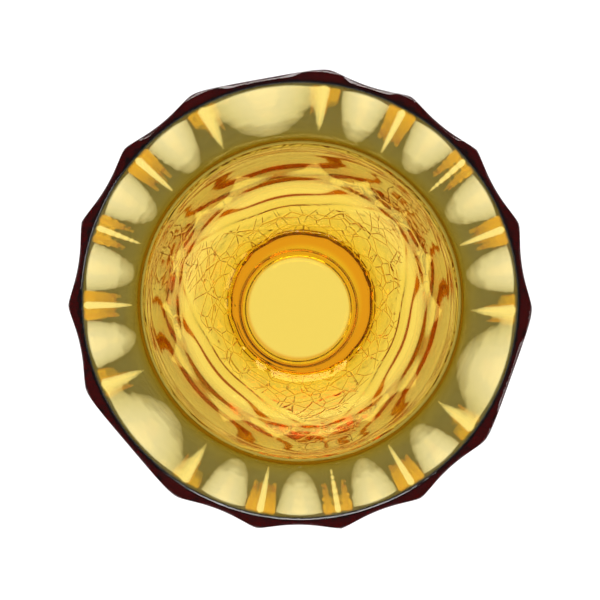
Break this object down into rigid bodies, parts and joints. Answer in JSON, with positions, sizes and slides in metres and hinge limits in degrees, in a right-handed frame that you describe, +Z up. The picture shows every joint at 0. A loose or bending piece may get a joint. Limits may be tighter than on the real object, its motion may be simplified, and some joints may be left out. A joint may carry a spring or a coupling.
{
  "type": "hyacinth forcing vase",
  "caption": "Amber moulded glass vase for forcing a bulb in water: flared cup, flutes that run down the body, textured round bowl and a small standing ring.",
  "frame": {"origin": "centre of the foot, on the plane that the vase stands on", "axes": "+Z up along the vase's axis to the rim; the middle of one wide facet faces +Y, and a mould seam faces -Y"},
  "size_m": [0.0736, 0.0733, 0.145],
  "materials": {
    "amber_glass": "clear amber moulded glass, fire polished, smooth inside"
  },
  "bodies": {
    "root": {"foot": "amber_glass", "root_chamber": "amber_glass", "neck": "amber_glass", "bulb_cup": "amber_glass", "cup_rim": "amber_glass"}
  },
  "joints": []
}
